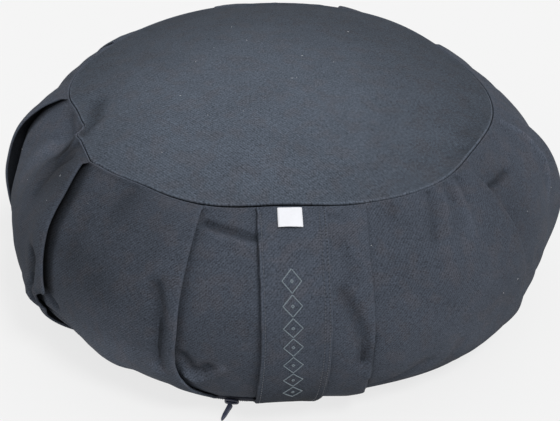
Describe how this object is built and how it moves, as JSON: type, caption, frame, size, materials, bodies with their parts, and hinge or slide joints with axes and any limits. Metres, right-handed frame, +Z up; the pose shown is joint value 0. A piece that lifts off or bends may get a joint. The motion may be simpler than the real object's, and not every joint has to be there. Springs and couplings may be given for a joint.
{
  "type": "zafu meditation cushion",
  "caption": "Round filled meditation cushion with a pleated side band, crowned top panel, flat carry handle, small white tag and a zip at the bottom seam.",
  "frame": {"origin": "centre of the flat base, on the floor", "axes": "+Z up, -Y towards the front where the carry handle is, +X to the right of someone who looks at the handle"},
  "size_m": [0.3632, 0.3676, 0.1465],
  "materials": {
    "band_cotton": "matt charcoal blue cotton twill",
    "panel_cotton": "matt charcoal blue cotton twill, a little faded",
    "handle_cotton": "matt charcoal cotton, edges topstitched",
    "white_tag": "white woven satin tag, bare",
    "zip_cloth": "dark navy zip tape and coil",
    "zip_enamel": "dark navy enamel"
  },
  "bodies": {
    "root": {"side_band": "band_cotton", "top_panel": "panel_cotton", "bottom_panel": "panel_cotton", "carry_handle": "handle_cotton", "woven_label": "white_tag", "zip_tape": "zip_cloth", "zip_slider": "zip_enamel", "zip_pull": "zip_enamel"}
  },
  "joints": []
}
